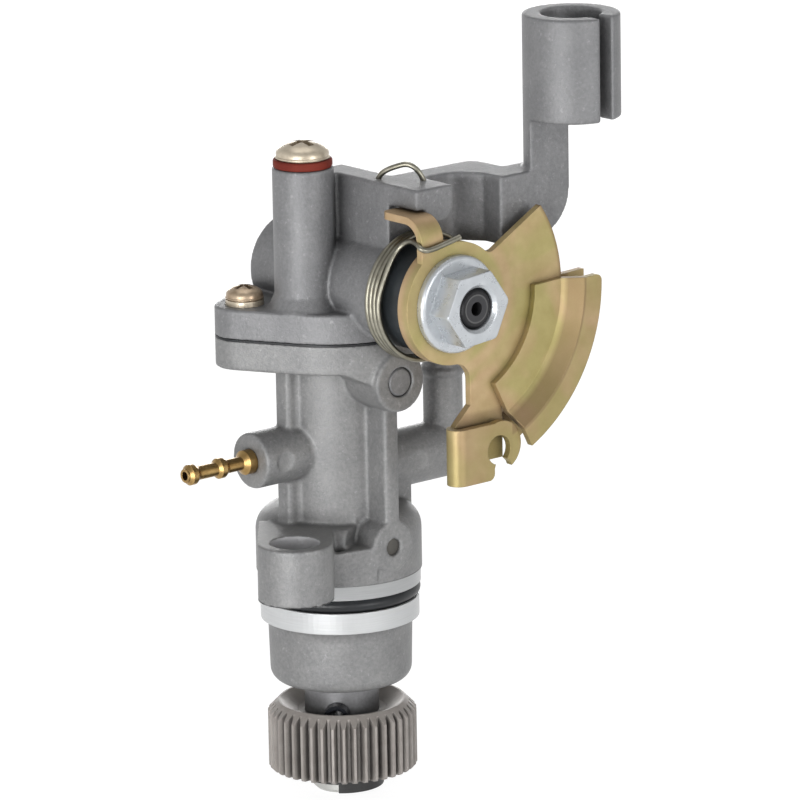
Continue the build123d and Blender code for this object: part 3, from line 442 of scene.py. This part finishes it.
def smooth(mesh, angle):
    """Smooth shading that breaks at edges sharper than the angle."""
    mesh.polygons.foreach_set("use_smooth", [True] * len(mesh.polygons))
    mesh.set_sharp_from_angle(angle=radians(angle))


def settled(piece):
    """The piece's mesh with its modifiers applied."""
    bpy.context.view_layer.update()
    mesh = bpy.data.meshes.new_from_object(piece.evaluated_get(bpy.context.evaluated_depsgraph_get()))
    piece.modifiers.clear()
    piece.data = mesh
    return mesh


def relax(mesh, passes, weigh):
    """Pull every point towards the mean of its neighbours: outer edges round off and corners fill."""
    count = len(mesh.vertices)
    points = np.empty(count * 3)
    mesh.vertices.foreach_get("co", points)
    points = points.reshape(-1, 3)
    ends = np.empty(len(mesh.edges) * 2, np.int64)
    mesh.edges.foreach_get("vertices", ends)
    a, b = ends.reshape(-1, 2).T
    degree = np.bincount(ends, minlength=count)
    weight = 0.5 * weigh(points / MM)
    for _ in range(passes):
        for axis in range(3):
            total = np.bincount(a, points[b, axis], count) + np.bincount(b, points[a, axis], count)
            points[:, axis] += weight * (total / degree - points[:, axis])
    mesh.vertices.foreach_set("co", points.ravel())
    mesh.update()


def mesh_of(name, form):
    """New mesh from a form, which is freed."""
    mesh = bpy.data.meshes.new(name)
    form.to_mesh(mesh)
    form.free()
    return mesh


def cut(mesh, z_mm, keep_above):
    """Drop what lies on one side of a level."""
    form = bmesh.new()
    form.from_mesh(mesh)
    everything = form.verts[:] + form.edges[:] + form.faces[:]
    bmesh.ops.bisect_plane(form, geom=everything, plane_co=(0, 0, z_mm * MM), plane_no=(0, 0, 1),
                           clear_inner=keep_above, clear_outer=not keep_above)
    form.to_mesh(mesh)
    form.free()


def keep_crisp(mesh, crisp, z_mm):
    """Put the crisp mesh's own form, with its sharp edges, in place of what lies below a level."""
    cut(mesh, z_mm, True)
    cut(crisp, z_mm, False)
    form = bmesh.new()
    form.from_mesh(crisp)
    bmesh.ops.remove_doubles(form, verts=form.verts[:], dist=WELD * MM)
    form.to_mesh(crisp)
    smooth(crisp, CRISP_ANGLE)
    form.clear()
    form.from_mesh(crisp)
    form.from_mesh(mesh)
    form.to_mesh(mesh)
    form.free()


def soft_casting(node, name, shader, weigh, crisp_below=None):
    """Copy of a cast node with rounded edges and filled corners, and the frame's own form below a level."""
    piece = link(name, NODES[node].data.copy(), shader)
    remesh = piece.modifiers.new("remesh", "REMESH")
    remesh.mode = "VOXEL"
    remesh.voxel_size = CAST_VOXEL * MM
    mesh = settled(piece)
    relax(mesh, CAST_PASSES, weigh)
    smooth(mesh, CAST_ANGLE)
    if crisp_below is not None:
        keep_crisp(mesh, NODES[node].data.copy(), crisp_below)
    mesh.materials.clear()
    mesh.materials.append(shader.material)
    mesh.polygons.foreach_set("material_index", [0] * len(mesh.polygons))
    return piece


def ramp(values, low, high):
    """0 below the low value, 1 above the high one."""
    return np.clip((values - low) / (high - low), 0.0, 1.0)


def away(points, a, b, centre, reach):
    """0 within a distance of an axis, 1 outside it."""
    distance = np.hypot(points[:, a] - centre[0], points[:, b] - centre[1])
    return ramp(distance, reach, reach + MOUTH_FADE)


def body_weight(points):
    """Where the body's surface may be rounded: not at the seat, the joint face or the fitted bores."""
    z = points[:, 2]
    weight = ramp(z, *SEAT_FADE) * (1 - ramp(z, *JOINT_FADE))
    for across, centre, reach, along, depth in FITTED_BORES:
        weight = weight * np.maximum(away(points, *across, centre, reach), points[:, along] > depth)
    return weight


def cover_weight(points):
    """Where the cover's surface may be rounded: not at its joint face."""
    return ramp(points[:, 2], *COVER_FADE)


def wire_piece(name, controls, wire_mm, shader):
    """Round wire along a smooth curve through the given points."""
    curve = bpy.data.curves.new(name, "CURVE")
    curve.dimensions = "3D"
    curve.bevel_depth = wire_mm * MM
    curve.bevel_resolution = 4
    curve.use_fill_caps = True
    curve.resolution_u = 4
    spline = curve.splines.new("NURBS")
    spline.points.add(len(controls) - 1)
    for point, place in zip(spline.points, controls):
        point.co = (*[MM * value for value in place], 1.0)
    spline.order_u = 3
    spline.use_endpoint_u = True
    holder = bpy.data.objects.new(name, curve)
    bpy.context.collection.objects.link(holder)
    bpy.context.view_layer.update()
    mesh = bpy.data.meshes.new_from_object(holder.evaluated_get(bpy.context.evaluated_depsgraph_get()))
    bpy.data.objects.remove(holder)
    bpy.data.curves.remove(curve)
    piece = link(name, mesh, shader)
    smooth(mesh, WIRE_ANGLE)
    return piece


def spring_route():
    """Control points of the return spring: web leg, coil, tab leg."""
    step = radians(15.0)
    reach = SPRING_R / cos(step / 2)
    start = acos(SPRING_LEG_X / SPRING_R)
    count = int(SPRING_TURNS * 2 * pi / step)
    coil = [(reach * cos(start - i * step), SPRING_BACK - SPRING_PITCH * i * step / (2 * pi),
             LEVER_Z + reach * sin(start - i * step)) for i in range(count + 1)]
    web_leg = [(-1.6, -12.2, 59.8), (-1.6, -12.7, 60.9), (-1.2, -13.9, 61.8), (-0.5, -15.2, 62.4),
               (0.4, -16.6, 62.9), (1.3, -17.6, 62.2), (2.1, -18.1, 60.6), (3.4, -18.1, 57.5)]
    tab_leg = [(-7.1, -21.35, 50.45), (-6.0, -21.6, 52.0), (-5.3, -22.4, 53.1), (-5.35, -24.2, 53.7),
               (-6.0, -26.2, 53.6), (-6.5, -27.4, 53.2), (-5.4, -27.65, 52.75), (-2.2, -27.65, 53.3),
               (0.6, -27.65, 53.9)]
    return web_leg + coil + tab_leg


def screw_outline(levels, radii):
    """Half section of a pan-head screw: radius and height of each corner."""
    foot, seat, top = levels
    shank, head = radii
    rise = top - seat
    rim = [(wide * head, seat + high * rise) for wide, high in HEAD_RIM]
    edge, start = HEAD_RIM[-1]
    shares = [i / DOME_STEPS for i in range(1, DOME_STEPS)]
    dome = [(edge * head * cos(0.5 * pi * share ** DOME_BEND),
             seat + rise * (start + (1 - start) * sin(0.5 * pi * share))) for share in shares]
    return [(0.0, foot), (shank, foot), (shank, seat)] + rim + dome + [(0.0, top)]


def turned_screw(levels, radii):
    """Screw without its recess."""
    form = bmesh.new()
    points = [form.verts.new((MM * r, 0.0, MM * z)) for r, z in screw_outline(levels, radii)]
    lines = [form.edges.new(pair) for pair in zip(points, points[1:])]
    bmesh.ops.spin(form, geom=points + lines, axis=(0, 0, 1), cent=(0, 0, 0), steps=TURN_STEPS, angle=2 * pi)
    bmesh.ops.remove_doubles(form, verts=form.verts[:], dist=WELD * MM)
    bmesh.ops.recalc_face_normals(form, faces=form.faces[:])
    return mesh_of("screw_solid", form)


def cross_tool(top, slot):
    """Two crossed blades that cut the recess."""
    half, wide, deep = slot
    form = bmesh.new()
    for x, y in ((half, wide / 2), (wide / 2, half)):
        place = Matrix.LocRotScale(Vector((0, 0, MM * top)), None, Vector((MM * x, MM * y, MM * deep)))
        bmesh.ops.create_cube(form, size=2.0, matrix=place)
    return mesh_of("screw_tool", form)


def pan_screw(form, spot, levels, radii, slot):
    """Add a pan-head screw with a cross recess to a mesh form."""
    holder = bpy.data.objects.new("screw_solid", turned_screw(levels, radii))
    cutter = bpy.data.objects.new("screw_tool", cross_tool(levels[-1], slot))
    for thing in (holder, cutter):
        bpy.context.collection.objects.link(thing)
    recess = holder.modifiers.new("recess", "BOOLEAN")
    recess.operation = "DIFFERENCE"
    recess.solver = "EXACT"
    recess.use_self = True
    recess.object = cutter
    mesh = settled(holder)
    mesh.transform(Matrix.Translation((MM * spot[0], MM * spot[1], 0.0)))
    form.from_mesh(mesh)
    for thing in (holder, cutter):
        bpy.data.objects.remove(thing)


def screw_piece(name, spots, levels, radii, slot, shader):
    """Equal screws at several spots, as one piece."""
    form = bmesh.new()
    for spot in spots:
        pan_screw(form, spot, levels, radii, slot)
    piece = link(name, mesh_of(name, form), shader)
    smooth(piece.data, SCREW_ANGLE)
    return piece


add_camera()
cast_body = casting("cast_body", (0.170, 0.171, 0.175), (0.275, 0.275, 0.272), bands=True)
cast_cover = casting("cast_cover", (0.160, 0.161, 0.167), (0.245, 0.246, 0.250))
gold_sheet = chromate("gold_sheet")
stud_steel = stud("stud_steel")
yellow_zinc = plain("yellow_zinc", (0.44, 0.375, 0.28), (0.66, 0.58, 0.46), 0.34, patch_mm=1.3, metal=0.6)
brown_zinc = plain("brown_zinc", (0.30, 0.215, 0.14), (0.54, 0.43, 0.31), 0.34, patch_mm=1.0, metal=0.65)
bright_zinc = plain("bright_zinc", (0.46, 0.485, 0.51), (0.58, 0.605, 0.63), 0.30, patch_mm=2.0, grain_mm=1.5,
                    depth_mm=0.006, round_mm=0.25, metal=0.6)
black_rubber = plain("black_rubber", (0.008, 0.009, 0.010), (0.020, 0.022, 0.025), 0.38, metal=0.0,
                     gloss=0.35)
red_fibre = plain("red_fibre", (0.13, 0.018, 0.011), (0.21, 0.032, 0.020), 0.7, metal=0.0, gloss=0.2)
dark_bush = plain("dark_bush", (0.010, 0.013, 0.015), (0.026, 0.031, 0.036), 0.45, metal=0.0)
sintered = powder_gear("sintered")
tail_steel = turned_shaft("tail_steel")
pin_steel = plain("pin_steel", (0.055, 0.052, 0.048), (0.12, 0.115, 0.10), 0.4, metal=0.5)
ground_steel = plain("ground_steel", (0.13, 0.13, 0.13), (0.25, 0.25, 0.26), 0.35)
black_steel = plain("black_steel", (0.004, 0.005, 0.007), (0.010, 0.011, 0.014), 0.3, metal=0.0, gloss=0.12)
brass = plain("brass", (0.26, 0.155, 0.055), (0.50, 0.34, 0.14), 0.34, patch_mm=1.5, depth_mm=0.005)
wire = plain("wire", (0.20, 0.19, 0.15), (0.36, 0.345, 0.285), 0.36, patch_mm=1.5, depth_mm=0.002,
             round_mm=0.0)

LOOKS = {
    "pump_body": cast_body, "top_cover": cast_cover, "cover_gasket": black_rubber,
    "cover_screws": brown_zinc, "lock_washers": yellow_zinc, "bleed_screw": yellow_zinc,
    "bleed_washer": red_fibre, "collar_o_ring": black_rubber, "oilway_plug": cast_cover,
    "guide_pin": pin_steel, "outlet_nipple": brass, "drive_gear": sintered, "drive_shaft": tail_steel,
    "drive_pin": black_steel, "thrust_washer": ground_steel, "shaft_circlip": black_steel,
    "shaft_seal": black_rubber, "plunger": ground_steel, "plunger_sleeve": ground_steel,
    "plunger_spring": wire, "check_ball": ground_steel, "check_spring": wire,
    "control_shaft": stud_steel, "control_seal": black_rubber, "control_circlip": black_steel,
    "spring_bush": dark_bush, "return_spring": wire, "lever_plate": gold_sheet,
    "lever_channel": gold_sheet, "flange_nut": bright_zinc,
}
for node_name, look in LOOKS.items():
    dress(node_name, look)

for node_name, piece_name, look, weigh, crisp in (
        ("pump_body", "cast_pump_body", cast_body, body_weight, SEAT_CUT),
        ("top_cover", "cast_top_cover", cast_cover, cover_weight, None)):
    cast = soft_casting(node_name, piece_name, look, weigh, crisp)
    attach(cast, "housing")
    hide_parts(node_name)

spring = wire_piece("spring_wire", spring_route(), WIRE_R, wire)
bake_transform(spring)
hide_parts("return_spring")

for node_name, piece_name, bodies, (fixed, moving) in (
        ("check_spring", "valve_spring", ("housing", "check_ball"), VALVE_ENDS),
        ("plunger_spring", "lift_spring", ("drive", "plunger"), LIFT_ENDS)):
    squeezed = link(piece_name, NODES[node_name].data.copy(), wire)
    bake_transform(squeezed)
    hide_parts(node_name)

for node_name, spots, levels, radii, slot, look in (
        ("cover_screws", SCREW_SPOTS, SCREW_LEVELS, SCREW_RADII, SCREW_SLOT, brown_zinc),
        ("bleed_screw", [BLEED_SPOT], BLEED_LEVELS, BLEED_RADII, BLEED_SLOT, yellow_zinc)):
    screws = screw_piece(f"pan_{node_name}", spots, levels, radii, slot, look)
    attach(screws, "housing")
    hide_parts(node_name)


# Studio
def light_rays(tree):
    """Light Path sockets: seen by the camera, seen in a mirror or through glass."""
    path = tree.nodes.new("ShaderNodeLightPath").outputs
    mirrored = math_node(tree, "MAXIMUM", path["Is Glossy Ray"], path["Is Transmission Ray"])
    return path["Is Camera Ray"], mirrored


def add_floor():
    """Pale floor that looks white and still takes the object's shadow."""
    mesh = bpy.data.meshes.new("floor")
    edge = 3.0
    low = cad_box[0][2]
    mesh.from_pydata([(-edge, -edge, low), (edge, -edge, low), (edge, edge, low), (-edge, edge, low)], [],
                     [(0, 1, 2, 3)])
    floor = bpy.data.objects.new("floor", mesh)
    bpy.context.collection.objects.link(floor)
    material = bpy.data.materials.new("floor")
    material.use_nodes = True
    tree = material.node_tree
    bsdf = tree.nodes["Principled BSDF"]
    bsdf.inputs["Base Color"].default_value = (0.88, 0.88, 0.88, 1.0)
    bsdf.inputs["Roughness"].default_value = 0.9
    seen, mirrored = light_rays(tree)
    share = math_node(tree, "MULTIPLY", math_node(tree, "MAXIMUM", seen, mirrored), FLOOR_SHARE)
    white = tree.nodes.new("ShaderNodeEmission")
    white.inputs["Strength"].default_value = FLOOR_WHITE
    mixed = tree.nodes.new("ShaderNodeMixShader")
    tree.links.new(share, mixed.inputs[0])
    tree.links.new(bsdf.outputs[0], mixed.inputs[1])
    tree.links.new(white.outputs[0], mixed.inputs[2])
    tree.links.new(mixed.outputs[0], tree.nodes["Material Output"].inputs["Surface"])
    mesh.materials.append(material)


def add_world():
    """White to the camera. As light it is strongest at the horizon and weak overhead, like a table studio."""
    world = bpy.data.worlds.new("studio")
    bpy.context.scene.world = world
    world.use_nodes = True
    tree = world.node_tree
    sky = tree.nodes["Background"]
    sky.inputs["Color"].default_value = (1.0, 1.0, 1.0, 1.0)
    seen, mirrored = light_rays(tree)
    direction = tree.nodes.new("ShaderNodeTexCoord").outputs["Generated"]
    split = tree.nodes.new("ShaderNodeSeparateXYZ")
    tree.links.new(direction, split.inputs[0])
    height = split.outputs["Z"]
    sky_light = span_node(tree, height, 0.0, 0.9, SKY_LOW, SKY_HIGH)
    mirror_light = span_node(tree, height, 0.2, 0.8, MIRROR_LOW, MIRROR_HIGH)
    lit = blend_node(tree, mirrored, sky_light, mirror_light)
    tree.links.new(blend_node(tree, seen, lit, 1.0), sky.inputs["Strength"])


def add_lamp(name, place, size, power, aim=(0.0, -0.005, 0.02), shown=True):
    data = bpy.data.lights.new(name, "AREA")
    data.shape = "RECTANGLE"
    data.size, data.size_y = size
    data.energy = power
    lamp = bpy.data.objects.new(name, data)
    bpy.context.collection.objects.link(lamp)
    lamp.location = place
    lamp.visible_camera = shown
    lamp.rotation_euler = (Vector(aim) - Vector(place)).to_track_quat("-Z", "Y").to_euler()


add_world()
add_floor()
add_lamp("key", (-0.75, -0.35, 0.10), (0.5, 0.25), 2.9)
add_lamp("fill", (0.05, -0.85, 0.10), (0.4, 0.25), 1.9)
add_lamp("top", (0.1, 0.1, 0.7), (0.5, 0.5), 1.0)
add_lamp("back", (0.58, 0.68, 0.1), (0.6, 0.25), 3.0)
add_lamp("low", (-0.17, -0.10, -0.012), (0.12, 0.03), 0.10, aim=(0.0, -0.005, 0.0), shown=False)
bpy.context.scene.view_settings.view_transform = "Standard"
